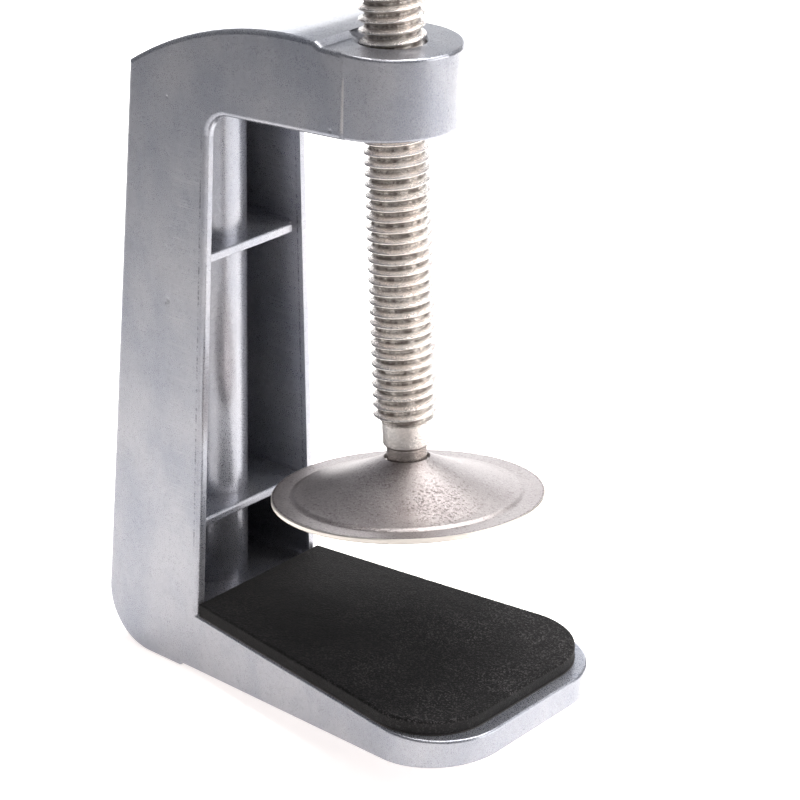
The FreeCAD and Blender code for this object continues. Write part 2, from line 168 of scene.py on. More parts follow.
def add(tree, kind, **settings):
    """New node; settings whose name is an input's label set that input, the rest are properties."""
    node = tree.nodes.new(kind)
    for key, value in settings.items():
        label = key.replace("_", " ")
        if label in node.inputs:
            node.inputs[label].default_value = value
        else:
            setattr(node, key, value)
    return node


def maths(tree, operation, first, second=None, clamp=False):
    """Math node on two sockets or numbers; returns its output."""
    node = tree.nodes.new("ShaderNodeMath")
    node.operation = operation
    node.use_clamp = clamp
    for place, value in enumerate((first, second)):
        if value is None:
            continue
        if isinstance(value, (int, float)):
            node.inputs[place].default_value = value
        else:
            tree.links.new(value, node.inputs[place])
    return node.outputs[0]


def ramp(tree, value, low, high, out_low=0.0, out_high=1.0):
    """Smooth step of a value between two numbers."""
    node = tree.nodes.new("ShaderNodeMapRange")
    node.interpolation_type = "SMOOTHSTEP"
    for label, number in zip(("From Min", "From Max", "To Min", "To Max"), (low, high, out_low, out_high)):
        node.inputs[label].default_value = number
    tree.links.new(value, node.inputs["Value"])
    return node.outputs["Result"]


def blend_colours(tree, factor, first, second):
    """Mix of two colours by a factor socket; colours are tuples or sockets."""
    node = tree.nodes.new("ShaderNodeMix")
    node.data_type = "RGBA"
    tree.links.new(factor, node.inputs["Factor"])
    for label, value in (("A", first), ("B", second)):
        socket = [s for s in node.inputs if s.name == label and s.type == "RGBA"][0]
        if isinstance(value, tuple):
            socket.default_value = (*value, 1.0)
        else:
            tree.links.new(value, socket)
    return [s for s in node.outputs if s.type == "RGBA"][0]


def tint(tree, colour, mask, amount, hue):
    """The colour with an amount of another laid over it where a mask is 1."""
    return blend_colours(tree, maths(tree, "MULTIPLY", mask, amount), colour, hue)


def product(tree, first, *others):
    """Masks multiplied together."""
    for other in others:
        first = maths(tree, "MULTIPLY", first, other)
    return first


def noise(tree, scale, detail=3.0, stretch=(1.0, 1.0, 1.0), rough=0.5, where=None):
    """Noise on the piece's own coordinates, in features per metre, stretched along each axis."""
    if where is None:
        where = tree.nodes.new("ShaderNodeTexCoord").outputs["Object"]
    mapping = add(tree, "ShaderNodeMapping")
    mapping.inputs["Scale"].default_value = stretch
    tree.links.new(where, mapping.inputs["Vector"])
    node = add(tree, "ShaderNodeTexNoise", Scale=scale, Detail=detail, Roughness=rough)
    tree.links.new(mapping.outputs[0], node.inputs["Vector"])
    return node.outputs["Fac"]


def bump(tree, height, strength, depth, under=None):
    node = add(tree, "ShaderNodeBump", Strength=strength, Distance=depth)
    tree.links.new(height, node.inputs["Height"])
    if under is not None:
        tree.links.new(under, node.inputs["Normal"])
    return node.outputs["Normal"]


def new_finish(name, **values):
    """Material with its Principled shader's plain values set on the shader's own sockets."""
    finish = bpy.data.materials.new(name)
    finish.use_nodes = True
    principled = finish.node_tree.nodes["Principled BSDF"]
    for key, value in values.items():
        principled.inputs[key.replace("_", " ")].default_value = value
    return finish, finish.node_tree, principled


def edge_wear_group():
    """Mask of 1 on rounded or sharp outside edges, broken up by noise, and 0 on open faces."""
    tree, given, made = new_group(
        "edge_wear_and_highlight", [("Radius", "Float", 0.0004), ("Breakup", "Float", 900.0)], [("Mask", "Float")])
    round_off = add(tree, "ShaderNodeBevel", samples=4)
    tree.links.new(given.outputs["Radius"], round_off.inputs["Radius"])
    facing = add(tree, "ShaderNodeNewGeometry")
    dot = add(tree, "ShaderNodeVectorMath", operation="DOT_PRODUCT")
    tree.links.new(round_off.outputs[0], dot.inputs[0])
    tree.links.new(facing.outputs["Normal"], dot.inputs[1])
    turned = ramp(tree, dot.outputs["Value"], 0.995, 0.80)
    spots = add(tree, "ShaderNodeTexNoise", Detail=4.0)
    where = tree.nodes.new("ShaderNodeTexCoord")
    tree.links.new(where.outputs["Object"], spots.inputs["Vector"])
    tree.links.new(given.outputs["Breakup"], spots.inputs["Scale"])
    broken = ramp(tree, spots.outputs["Fac"], 0.30, 0.62)
    tree.links.new(maths(tree, "MULTIPLY", turned, broken), made.inputs["Mask"])
    return tree


edge_wear_and_highlight = edge_wear_group()


def worn_and_highlit_edges(tree, radius, breakup):
    node = tree.nodes.new("ShaderNodeGroup")
    node.node_tree = edge_wear_and_highlight
    node.inputs["Radius"].default_value = radius
    node.inputs["Breakup"].default_value = breakup
    return node.outputs["Mask"]


def between(tree, value, low, high, soft):
    """Soft mask of 1 where a value lies between two numbers."""
    rise = ramp(tree, value, low - soft, low + soft)
    fall = ramp(tree, value, high - soft, high + soft, 1.0, 0.0)
    return maths(tree, "MULTIPLY", rise, fall)


def ding(tree, where, place, size):
    """Mask of 1 at the middle of a small dent."""
    away = add(tree, "ShaderNodeVectorMath", operation="DISTANCE")
    tree.links.new(where, away.inputs[0])
    away.inputs[1].default_value = place
    return ramp(tree, away.outputs["Value"], size, 0.0)


def own_axes(tree):
    """The piece's own coordinates, as a vector and split into X, Y and Z."""
    where = tree.nodes.new("ShaderNodeTexCoord").outputs["Object"]
    axes = add(tree, "ShaderNodeSeparateXYZ")
    tree.links.new(where, axes.inputs[0])
    return where, axes.outputs


def coat(name, finish):
    """Puts a material on a piece that is carried over from the CAD."""
    nodes[name].data.materials.clear()
    nodes[name].data.materials.append(finish)


# Where the marks lie along X and along Z; the outside faces and the hollow are told apart by how far
# they lie from the mid plane.
outside = (0.0088, 0.0094)
filed_x, filed_z = (0.0030, 0.0106), (0.018, 0.086)
burr_x, burr_z = (0.00925, 0.00950), (0.022, 0.087)
# Bounds of the painted highlight down the arm's tangent.
tangent_highlight_x, tangent_highlight_z = (0.0356, 0.0359), (0.0935, 0.1012)
# Bounds of the painted shade at the bottom of the hollow.
shaded_hollow_x, shaded_hollow_half, shaded_hollow_z = (-0.0081, 0.0099), (0.0128, 0.0120), (0.0262, 0.0240)
dent_places = (((0.00314, -0.01184, 0.0602), 0.0007), ((0.00278, -0.01184, 0.0598), 0.0005),
               ((0.00238, -0.01062, 0.0914), 0.0004), ((0.03386, -0.01054, 0.0934), 0.0005),
               ((0.0449, -0.0066, 0.0965), 0.0005), ((0.0040, 0.0118, 0.0640), 0.0007),
               ((-0.0070, 0.0040, 0.0400), 0.0008))
cast, tree, shader = new_finish("cast_lacquer", Metallic=0.76, Coat_Weight=0.50, Coat_Roughness=0.09,
                                Coat_IOR=1.5)
where, axes = own_axes(tree)
flake = noise(tree, 7000.0, 2.0)
cloud = noise(tree, 85.0, 5.0, (1.0, 1.0, 0.6), 0.6)
stain = noise(tree, 240.0, 5.0, rough=0.65)
peel = noise(tree, 1500.0, 4.0, rough=0.65)
half_y = maths(tree, "ABSOLUTE", axes["Y"])
colour = blend_colours(tree, ramp(tree, cloud, 0.32, 0.68), (0.335, 0.350, 0.405), (0.455, 0.455, 0.49))
colour = tint(tree, colour, ramp(tree, peel, 0.50, 0.70), 0.32, (0.25, 0.255, 0.285))
colour = tint(tree, colour, ramp(tree, flake, 0.42, 0.72), 0.30, (0.62, 0.63, 0.66))
colour = tint(tree, colour, ramp(tree, stain, 0.60, 0.78), 0.18, (0.36, 0.36, 0.39))
# File marks run front to back on both side faces, next to the throat.
scratches = ramp(tree, noise(tree, 1.0, 3.0, (130.0, 130.0, 5200.0), 0.7), 0.50, 0.74)
on_sides = ramp(tree, half_y, *outside)
filed = product(tree, between(tree, axes["X"], *filed_x, 0.0018), between(tree, axes["Z"], *filed_z, 0.008),
                scratches, on_sides)
colour = tint(tree, colour, filed, 0.34, (0.70, 0.70, 0.71))
# A ragged dark line of burr runs beside the throat's edge; the pale line down the arm's tangent is a
# painted highlight.
ragged = ramp(tree, noise(tree, 1.0, 4.0, (700.0, 700.0, 1500.0), 0.8), 0.42, 0.60)
burr = product(tree, between(tree, axes["X"], *burr_x, 0.00012), between(tree, axes["Z"], *burr_z, 0.003),
               ragged, on_sides)
colour = tint(tree, colour, burr, 0.75, (0.07, 0.07, 0.08))
# Painted highlight: a pale line down the arm's tangent.
tangent_highlight = product(tree, between(tree, axes["X"], *tangent_highlight_x, 0.00012), between(tree, axes["Z"], *tangent_highlight_z, 0.0006))
colour = tint(tree, colour, tangent_highlight, 0.55, (0.74, 0.71, 0.69))
# Painted shade: the bottom of the hollow is darkened, where the channel lies in shade.
painted_hollow_shade = product(tree, ramp(tree, half_y, *shaded_hollow_half), ramp(tree, axes["Z"], *shaded_hollow_z),
               between(tree, axes["X"], *shaded_hollow_x, 0.0004))
colour = tint(tree, colour, painted_hollow_shade, 0.60, (0.10, 0.10, 0.12))
# Outside edges are tinted lighter, partly as edge wear and partly as a painted highlight; the same mask
# roughens them.
wear_and_highlight = worn_and_highlit_edges(tree, 0.0005, 1400.0)
colour = tint(tree, colour, wear_and_highlight, 0.14, (0.70, 0.69, 0.68))
dents = None
for place, size in dent_places:
    one = ding(tree, where, place, size)
    dents = one if dents is None else maths(tree, "MAXIMUM", dents, one)
colour = tint(tree, colour, dents, 0.35, (0.25, 0.25, 0.27))
tree.links.new(colour, shader.inputs["Base Color"])
gloss = maths(tree, "ADD", ramp(tree, flake, 0.3, 0.7, 0.25, 0.34), maths(tree, "MULTIPLY", filed, 0.12))
gloss = maths(tree, "ADD", gloss, maths(tree, "MULTIPLY", ramp(tree, stain, 0.5, 0.8), 0.06))
gloss = maths(tree, "ADD", gloss, maths(tree, "MULTIPLY", wear_and_highlight, 0.22))
tree.links.new(gloss, shader.inputs["Roughness"])
relief = bump(tree, noise(tree, 420.0, 3.0), 0.22, 0.00006)
relief = bump(tree, peel, 0.45, 0.00005, relief)
relief = bump(tree, flake, 0.25, 0.000012, relief)
relief = bump(tree, maths(tree, "SUBTRACT", 1.0, filed), 0.35, 0.00002, relief)
relief = bump(tree, maths(tree, "SUBTRACT", 1.0, dents), 0.8, 0.00008, relief)
tree.links.new(relief, shader.inputs["Normal"])
coat("clamp_frame", cast)

# --- foam pad -------------------------------------------------------------------------------
# Black closed-cell foam, 2 mm thick, cut by hand to the jaw's plan and stuck down. Its skin is a
# little uneven, and its cut edges show open cells.
pad_low, pad_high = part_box("foam_pad")
pad_flare = 0.14
pad_corner = 0.0102
pad_skin_drop = 0.00008
pad_points, pad_rings, pad_arc_steps = 300, 34, 16
pad_shoulder = 0.00045
pad_crown_share = 0.55
edge_nibble, skin_lift, skin_cap = 0.00009, 0.00006, 0.9
ring_bunching = 1.6
# Share of the height and inset of each level of the cut edge, from the film up.
pad_levels = ((0.0, 0.00012), (0.18, 0.0), (0.40, 0.00008), (0.62, 0.00006), (0.82, 0.00002),
              (0.93, 0.00008), (0.985, 0.00022))


def pad_outline(count):
    """Evenly spaced points, anticlockwise, round the pad's plan: a tongue that flares to round corners."""
    corner_x = pad_high.x - pad_corner
    corner_y = pad_high.y - pad_corner
    turn = math.atan(pad_flare)
    back_half = corner_y + pad_corner / math.cos(turn) - pad_flare * (corner_x - pad_low.x)
    near = [(pad_low.x, -back_half)]
    for step in range(pad_arc_steps + 1):
        angle = (math.pi / 2 + turn) * (step / pad_arc_steps - 1)
        near.append((corner_x + pad_corner * math.cos(angle), -corner_y + pad_corner * math.sin(angle)))
    outline = near + [(x, -y) for x, y in reversed(near)]
    lengths = [math.dist(outline[i], outline[(i + 1) % len(outline)]) for i in range(len(outline))]
    pitch = sum(lengths) / count
    points, at, left = [], 0, 0.0
    for number in range(count):
        while left > lengths[at]:
            left -= lengths[at]
            at += 1
        start, end = Vector(outline[at]), Vector(outline[(at + 1) % len(outline)])
        points.append(start.lerp(end, left / lengths[at]))
        left += pitch
    return points


def unevenness(x, y, z, scale, size):
    """Height of a cloudy surface of a size, in features per metre."""
    return size * fractal(Vector((x, y, z)) * scale, 0.9, 2.0, 3)


def linked(name, shell):
    """New object in the scene with a bmesh as its mesh; the bmesh is freed."""
    mesh = bpy.data.meshes.new(name)
    shell.to_mesh(mesh)
    shell.free()
    piece = bpy.data.objects.new(name, mesh)
    scene.collection.objects.link(piece)
    return piece


plan = pad_outline(pad_points)
middle = Vector((pad_low.x + pad_crown_share * (pad_high.x - pad_low.x), 0.0))
top = pad_high.z - pad_skin_drop
rings = []
for share, inset in pad_levels:
    ring = []
    for point in plan:
        inward = (middle - point).normalized()
        nibble = abs(unevenness(point.x, point.y, share * 0.002, 900.0, edge_nibble))
        place = point + inward * (inset + nibble)
        ring.append((place.x, place.y, pad_low.z + share * (top - pad_low.z)))
    rings.append(ring)
for number in range(1, pad_rings):
    share = (number / pad_rings) ** ring_bunching
    ring = []
    for point in plan:
        place = point.lerp(middle, share) + (middle - point).normalized() * pad_shoulder * (1 - share)
        lift = unevenness(place.x, place.y, 0.0, 260.0, skin_lift)
        ring.append((place.x, place.y, top + min(lift, pad_skin_drop * skin_cap)))
    rings.append(ring)
shell = bmesh.new()
loops = [[shell.verts.new(point) for point in ring] for ring in rings]
for lower, upper in zip(loops, loops[1:]):
    for i in range(len(plan)):
        j = (i + 1) % len(plan)
        shell.faces.new((lower[i], lower[j], upper[j], upper[i]))
crown = shell.verts.new((middle.x, middle.y, top))
base = shell.verts.new((middle.x, middle.y, pad_low.z))
for i in range(len(plan)):
    j = (i + 1) % len(plan)
    shell.faces.new((loops[-1][i], loops[-1][j], crown))
    shell.faces.new((loops[0][j], loops[0][i], base))
bmesh.ops.recalc_face_normals(shell, faces=shell.faces)
pad = linked("foam_pad_cut", shell)
pad.data.shade_smooth()
pad.data.set_sharp_from_angle(angle=math.radians(50))
foam, tree, shader = new_finish("closed_cell_foam", Roughness=0.9, Sheen_Weight=0.04, Sheen_Roughness=0.5)
shader.inputs["Specular IOR Level"].default_value = 0.22
where, axes = own_axes(tree)
cells = add(tree, "ShaderNodeTexVoronoi", Scale=5200.0)
tree.links.new(where, cells.inputs["Vector"])
glint = add(tree, "ShaderNodeSeparateXYZ")
tree.links.new(cells.outputs["Color"], glint.inputs[0])
crumbs = noise(tree, 5200.0, 2.0)
patch = noise(tree, 110.0, 3.0)
# Pale flecks: partly the foam's own speckle, partly a painted sheen that grows toward the front of the pad.
front = ramp(tree, axes["X"], pad_low.x + 0.012, pad_high.x - 0.006, 0.25, 1.0)
speckle_and_painted_sheen = product(tree, ramp(tree, glint.outputs["X"], 0.62, 0.97), front,
                  ramp(tree, patch, 0.38, 0.62, 0.45, 1.0))
hollow = ramp(tree, glint.outputs["Y"], 0.55, 0.95)
cut = ramp(tree, axes["Z"], pad_high.z - 0.00025, pad_high.z - 0.00045)
colour = blend_colours(tree, patch, (0.0066, 0.0060, 0.0062), (0.0108, 0.0100, 0.0102))
colour = tint(tree, colour, hollow, 0.6, (0.003, 0.003, 0.003))
colour = tint(tree, colour, speckle_and_painted_sheen, 0.70, (0.105, 0.097, 0.099))
colour = tint(tree, colour, cut, 0.55, (0.035, 0.034, 0.034))
tree.links.new(colour, shader.inputs["Base Color"])
relief = bump(tree, cells.outputs["Distance"], 0.6, 0.00014)
relief = bump(tree, noise(tree, 1700.0, 4.0, rough=0.7), 0.6, 0.00016, relief)
relief = bump(tree, crumbs, 0.5, 0.00006, relief)
tree.links.new(relief, shader.inputs["Normal"])
pad.data.materials.append(foam)
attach(pad, "frame")
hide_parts("foam_pad")

# --- adhesive film --------------------------------------------------------------------------
# Double-sided tape that holds the pad on the jaw: a thin brown-black film of glue, cut in one with the
# pad, so that only its edge shows.
tape, tree, shader = new_finish("tape_film", Roughness=0.45)
colour = blend_colours(tree, noise(tree, 900.0, 3.0), (0.045, 0.042, 0.040), (0.085, 0.075, 0.068))
tree.links.new(colour, shader.inputs["Base Color"])
coat("pad_film", tape)

# --- clamp screw ----------------------------------------------------------------------------
# A 3/8 inch, 16 to the inch rolled thread in mild steel, nickel plated, with a turned shank and a
# neck below it that is peened over behind the disc, and a cross-drilled head above. Old grease and
# grime sit in the roots.
screw_axis = Vector(joints["screw_turn"]["axis"]).normalized()
screw_foot = Vector(joints["screw_turn"]["pos_m"])
upright = Vector((0, 0, 1))
screw_place = Matrix.Translation(screw_foot) @ upright.rotation_difference(screw_axis).to_matrix().to_4x4()
along = [(vertex.co - screw_foot).dot(screw_axis) for vertex in nodes["clamp_screw"].data.vertices]
screw_bottom, screw_top = min(along), max(along)
pitch = 0.0015875
crest_radius = 0.0047625
thread_depth = 0.00094
shank_radius = 0.00353
neck_radius = 0.0030
peen_radius, peen_length, peen_bevel = 0.0040, 0.0011, 0.0009
neck_length = 0.00482
shank_length, shank_bevel = 0.0041, 0.0005
shank_rounding, head_rounding = 0.00012, 0.00025
head_radius, head_length, head_bevel = 0.0065, 0.012, 0.0010
dimple_radius, dimple_depth = 0.0012, 0.0004
cross_hole_gap = 0.00006
shank_low = screw_bottom + peen_length + neck_length
thread_low = shank_low + shank_length
head_low = screw_top - head_length
# Of half a pitch, the thread's root takes 0.20 and its flank 0.70; both ends are chamfered.
root_share, flank_share = 0.20, 0.70
thread_start = 0.51
chamfer_slope = 1.7
thread_rows, screw_columns = 14, 64
knock_depth, knock_level, knock_scale, knock_stretch = 0.00035, 0.42, 2.6, 160.0
grime_depth = 0.00055


def thread_tree():
    """Geometry nodes: a grid wound into a helical thread, from its pitch, radii and two ends."""
    tree = bpy.data.node_groups.new("rolled_thread", "GeometryNodeTree")
    for label, kind in (("Pitch", "Float"), ("Crest Radius", "Float"), ("Root Radius", "Float"),
                        ("End Radius", "Float"), ("Low", "Float"), ("High", "Float"), ("Start", "Float"),
                        ("Wear", "Float"), ("Rows", "Int"), ("Columns", "Int"), ("Material", "Material")):
        tree.interface.new_socket(label, in_out="INPUT", socket_type="NodeSocket" + kind)
    tree.interface.new_socket("Geometry", in_out="OUTPUT", socket_type="NodeSocketGeometry")
    given = tree.nodes.new("NodeGroupInput").outputs
    made = tree.nodes.new("NodeGroupOutput")
    length = maths(tree, "SUBTRACT", given["High"], given["Low"])
    turns = maths(tree, "ADD", maths(tree, "CEIL", maths(tree, "DIVIDE", length, given["Pitch"])), 1.0)
    rows = maths(tree, "MULTIPLY", turns, given["Rows"])
    grid = tree.nodes.new("GeometryNodeMeshGrid")
    grid.inputs["Size X"].default_value = 1.0
    grid.inputs["Size Y"].default_value = 1.0
    tree.links.new(maths(tree, "ADD", given["Columns"], 1.0), grid.inputs["Vertices X"])
    tree.links.new(maths(tree, "ADD", rows, 1.0), grid.inputs["Vertices Y"])
    axes = tree.nodes.new("ShaderNodeSeparateXYZ")
    tree.links.new(tree.nodes.new("GeometryNodeInputPosition").outputs[0], axes.inputs[0])
    turn = maths(tree, "ADD", axes.outputs["X"], 0.5)
    row = maths(tree, "ROUND", maths(tree, "MULTIPLY", maths(tree, "ADD", axes.outputs["Y"], 0.5), rows))
    wound = maths(tree, "DIVIDE", row, given["Rows"])
    climb = maths(tree, "SUBTRACT", maths(tree, "ADD", wound, turn), 1.0)
    height = maths(tree, "ADD", maths(tree, "MULTIPLY", climb, given["Pitch"]), given["Low"])
    height = maths(tree, "MINIMUM", maths(tree, "MAXIMUM", height, given["Low"]), given["High"])
    phase = maths(tree, "FRACT", maths(tree, "ADD", wound, given["Start"]))
    slant = maths(tree, "ABSOLUTE", maths(tree, "SUBTRACT", maths(tree, "MULTIPLY", phase, 2.0), 1.0))
    flank = maths(tree, "SUBTRACT", maths(tree, "SUBTRACT", 1.0, slant), root_share)
    flank = maths(tree, "DIVIDE", flank, flank_share, clamp=True)
    depth = maths(tree, "SUBTRACT", given["Crest Radius"], given["Root Radius"])
    radius = maths(tree, "ADD", given["Root Radius"], maths(tree, "MULTIPLY", depth, flank))
    angle = maths(tree, "MULTIPLY", turn, 2.0 * math.pi)
    spot = tree.nodes.new("ShaderNodeCombineXYZ")
    tree.links.new(maths(tree, "COSINE", angle), spot.inputs["X"])
    tree.links.new(maths(tree, "SINE", angle), spot.inputs["Y"])
    tree.links.new(maths(tree, "MULTIPLY", height, knock_stretch), spot.inputs["Z"])
    knocks = tree.nodes.new("ShaderNodeTexNoise")
    knocks.inputs["Scale"].default_value = knock_scale
    knocks.inputs["Detail"].default_value = 4.0
    tree.links.new(spot.outputs[0], knocks.inputs["Vector"])
    nick = maths(tree, "SUBTRACT", knocks.outputs["Fac"], knock_level, clamp=True)
    radius = maths(tree, "SUBTRACT", radius, product(tree, nick, given["Wear"], flank))
    from_low = maths(tree, "SUBTRACT", height, given["Low"])
    from_high = maths(tree, "SUBTRACT", given["High"], height)
    for rise in (from_low, from_high):
        limit = maths(tree, "ADD", given["End Radius"], maths(tree, "MULTIPLY", rise, chamfer_slope))
        radius = maths(tree, "MINIMUM", radius, limit)
    place = tree.nodes.new("ShaderNodeCombineXYZ")
    tree.links.new(maths(tree, "MULTIPLY", maths(tree, "COSINE", angle), radius), place.inputs["X"])
    tree.links.new(maths(tree, "MULTIPLY", maths(tree, "SINE", angle), radius), place.inputs["Y"])
    tree.links.new(height, place.inputs["Z"])
    wind = tree.nodes.new("GeometryNodeSetPosition")
    tree.links.new(grid.outputs["Mesh"], wind.inputs["Geometry"])
    tree.links.new(place.outputs[0], wind.inputs["Position"])
    weld = tree.nodes.new("GeometryNodeMergeByDistance")
    weld.inputs["Distance"].default_value = 2e-7
    tree.links.new(wind.outputs[0], weld.inputs["Geometry"])
    real = tree.nodes.new("GeometryNodeRealizeInstances")
    tree.links.new(weld.outputs[0], real.inputs[0])
    paint = tree.nodes.new("GeometryNodeSetMaterial")
    tree.links.new(real.outputs[0], paint.inputs["Geometry"])
    tree.links.new(given["Material"], paint.inputs["Material"])
    tree.links.new(paint.outputs[0], made.inputs[0])
    return tree


def grown(name, tree, values):
    """Plain mesh from a geometry node tree; values are the tree's inputs by label."""
    holder = bpy.data.objects.new(name, bpy.data.meshes.new(name + "_seed"))
    scene.collection.objects.link(holder)
    modifier = holder.modifiers.new("nodes", "NODES")
    modifier.node_group = tree
    for item in tree.interface.items_tree:
        if item.in_out == "INPUT" and item.name in values:
            modifier[item.identifier] = values[item.name]
    bpy.context.view_layer.update()
    evaluated = holder.evaluated_get(bpy.context.evaluated_depsgraph_get())
    mesh = bpy.data.meshes.new_from_object(evaluated)
    bpy.data.objects.remove(holder)
    return mesh


def lathe(shell, profile, columns):
    """Turns a profile of (radius, height) about Z into a bmesh; a radius of 0 closes it to a pole."""
    rings = []
    for radius, height in profile:
        if radius == 0.0:
            rings.append([shell.verts.new((0.0, 0.0, height))])
            continue
        ring = []
        for i in range(columns):
            angle = 2.0 * math.pi * i / columns
            ring.append(shell.verts.new((radius * math.cos(angle), radius * math.sin(angle), height)))
        rings.append(ring)
    for lower, upper in zip(rings, rings[1:]):
        for i in range(columns):
            j = (i + 1) % columns
            if len(lower) == 1:
                shell.faces.new((lower[0], upper[j], upper[i]))
            elif len(upper) == 1:
                shell.faces.new((lower[i], lower[j], upper[0]))
            else:
                shell.faces.new((lower[i], lower[j], upper[j], upper[i]))


def rounded_steps(profile, radius, steps=3):
    """The same profile with each inner corner point cut back by a radius and rounded."""
    smooth = [profile[0]]
    for before, corner, after in zip(profile, profile[1:], profile[2:]):
        a, b, c = (Vector(p) for p in (before, corner, after))
        reach = min(radius, 0.45 * (b - a).length, 0.45 * (c - b).length)
        start, end = b + (a - b).normalized() * reach, b + (c - b).normalized() * reach
        for step in range(steps + 1):
            t = step / steps
            smooth.append(tuple(start * (1 - t) ** 2 + b * 2 * t * (1 - t) + end * t ** 2))
    return smooth + [profile[-1]]


def turned_axes(tree, place):
    """A turned piece's coordinates with its axis as Z, the same split into X, Y and Z, and the radius."""
    back = place.inverted()
    where = add(tree, "ShaderNodeMapping", Location=back.translation, Rotation=back.to_euler())
    tree.links.new(tree.nodes.new("ShaderNodeTexCoord").outputs["Object"], where.inputs["Vector"])
    axes = add(tree, "ShaderNodeSeparateXYZ")
    tree.links.new(where.outputs[0], axes.inputs[0])
    squares = [maths(tree, "MULTIPLY", axes.outputs[label], axes.outputs[label]) for label in "XY"]
    return where.outputs[0], axes.outputs, maths(tree, "SQRT", maths(tree, "ADD", *squares))


plated, tree, shader = new_finish("nickel_plate", Metallic=1.0)
where, axes, out = turned_axes(tree, screw_place)
threaded = between(tree, axes["Z"], thread_low - 0.0002, head_low, 0.0003)
low_down = ramp(tree, out, crest_radius - grime_depth, crest_radius - thread_depth)
root = maths(tree, "MULTIPLY", low_down, threaded)
grime = ramp(tree, noise(tree, 620.0, 5.0, rough=0.75, where=where), 0.36, 0.62)
specks = ramp(tree, noise(tree, 2600.0, 3.0, rough=0.7, where=where), 0.50, 0.66)
fouled = maths(tree, "MULTIPLY", root, maths(tree, "MAXIMUM", grime, specks))
fleck = ramp(tree, noise(tree, 2700.0, 4.0, rough=0.75), 0.56, 0.68)
dull = noise(tree, 330.0, 3.0)
colour = blend_colours(tree, ramp(tree, dull, 0.3, 0.7), (0.90, 0.835, 0.785), (0.97, 0.93, 0.89))
colour = tint(tree, colour, root, 0.25, (0.55, 0.46, 0.38))
colour = tint(tree, colour, fouled, 0.80, (0.075, 0.055, 0.042))
colour = tint(tree, colour, fleck, 0.55, (0.17, 0.13, 0.11))
stained = ramp(tree, axes["Z"], shank_low + 0.0001, shank_low - 0.0002)
colour = tint(tree, colour, stained, 0.60, (0.20, 0.15, 0.13))
handled = ramp(tree, axes["Z"], head_low - 0.0002, head_low)
colour = tint(tree, colour, handled, 0.60, (0.42, 0.39, 0.36))
tree.links.new(colour, shader.inputs["Base Color"])
gloss = maths(tree, "ADD", ramp(tree, dull, 0.3, 0.7, 0.17, 0.27), maths(tree, "MULTIPLY", fouled, 0.40))
tree.links.new(gloss, shader.inputs["Roughness"])
turning = noise(tree, 1.0, 2.0, (200.0, 200.0, 9000.0), where=where)
relief = bump(tree, turning, 0.25, 0.00001)
relief = bump(tree, noise(tree, 2900.0, 4.0, rough=0.7), 1.0, 0.00014, relief)
tree.links.new(relief, shader.inputs["Normal"])

thread = grown("thread", thread_tree(), {
    "Pitch": pitch, "Crest Radius": crest_radius, "Root Radius": crest_radius - thread_depth,
    "End Radius": shank_radius, "Low": thread_low, "High": head_low, "Start": thread_start,
    "Wear": knock_depth, "Rows": thread_rows, "Columns": screw_columns, "Material": plated})
shell = bmesh.new()
shell.from_mesh(thread)
lathe(shell, rounded_steps([
    (0.0, screw_bottom), (peen_radius - peen_bevel, screw_bottom),
    (peen_radius, screw_bottom + peen_length), (neck_radius, screw_bottom + peen_length),
    (neck_radius, shank_low),
    (shank_radius - shank_bevel, shank_low), (shank_radius, shank_low + shank_bevel),
    (shank_radius, thread_low)], shank_rounding), screw_columns)
lathe(shell, rounded_steps([
    (shank_radius, head_low), (head_radius - head_bevel, head_low), (head_radius, head_low + head_bevel),
    (head_radius, screw_top - head_bevel), (head_radius - head_bevel, screw_top),
    (dimple_radius, screw_top), (0.0, screw_top - dimple_depth)], head_rounding), screw_columns)
bmesh.ops.remove_doubles(shell, verts=shell.verts, dist=2e-6)
bmesh.ops.transform(shell, matrix=screw_place, verts=shell.verts)
screw = linked("clamp_screw_threaded", shell)
# The head's cross hole, drilled for the bar.
bar_low, bar_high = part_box("tommy_bar")
hole = (bar_high.x - bar_low.x) / 2 + cross_hole_gap
hole_place = Matrix.Translation((bar_low + bar_high) / 2) @ Matrix.Rotation(math.pi / 2, 4, "X")
shell = bmesh.new()
bmesh.ops.create_cone(shell, cap_ends=True, segments=48, radius1=hole, radius2=hole, depth=4 * head_radius)
bmesh.ops.transform(shell, matrix=hole_place, verts=shell.verts)
drill = linked("drill", shell)
drilled = screw.modifiers.new("cross_hole", "BOOLEAN")
drilled.operation = "DIFFERENCE"
drilled.solver = "EXACT"
drilled.object = drill
bpy.context.view_layer.update()
screw_mesh = bpy.data.meshes.new_from_object(screw.evaluated_get(bpy.context.evaluated_depsgraph_get()))
screw.modifiers.clear()
screw.data = screw_mesh
bpy.data.objects.remove(drill)
screw_mesh.shade_smooth()
screw_mesh.set_sharp_from_angle(angle=math.radians(38))
screw_mesh.materials.clear()
screw_mesh.materials.append(plated)
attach(screw, "screw")
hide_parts("clamp_screw")

# --- pressure disc --------------------------------------------------------------------------
# Stamped from 0.8 mm steel sheet: flat rim, pressed ring, and a cone that sweeps up to the hole.
# It hangs loose on the screw's neck and has tipped over on it. Satin, with a sheared bright edge whose pale
# cream colour is a painted reflection of the white table.
swivel = joints["disc_swivel"]
disc_tip = math.radians(4.4)
disc_pivot = Vector(swivel["pos_m"])
disc_place = (Matrix.Translation(disc_pivot) @ Matrix.Rotation(disc_tip, 4, Vector(swivel["axis"])) @
              Matrix.Translation(-disc_pivot) @ screw_place)
sheet_thick = 0.0008
disc_height = 0.0065
disc_radius = 0.02025
rim_radii = (0.0194, 0.0184, 0.0177)
ring_outer, ring_inner, ring_step = 0.0175, 0.0165, 0.00040
ring_points, cone_points, disc_columns = 5, 26, 160
edge_break, edge_burr = 0.00012, 0.00016
lip_round, lip_inset = 0.0002, 0.0001
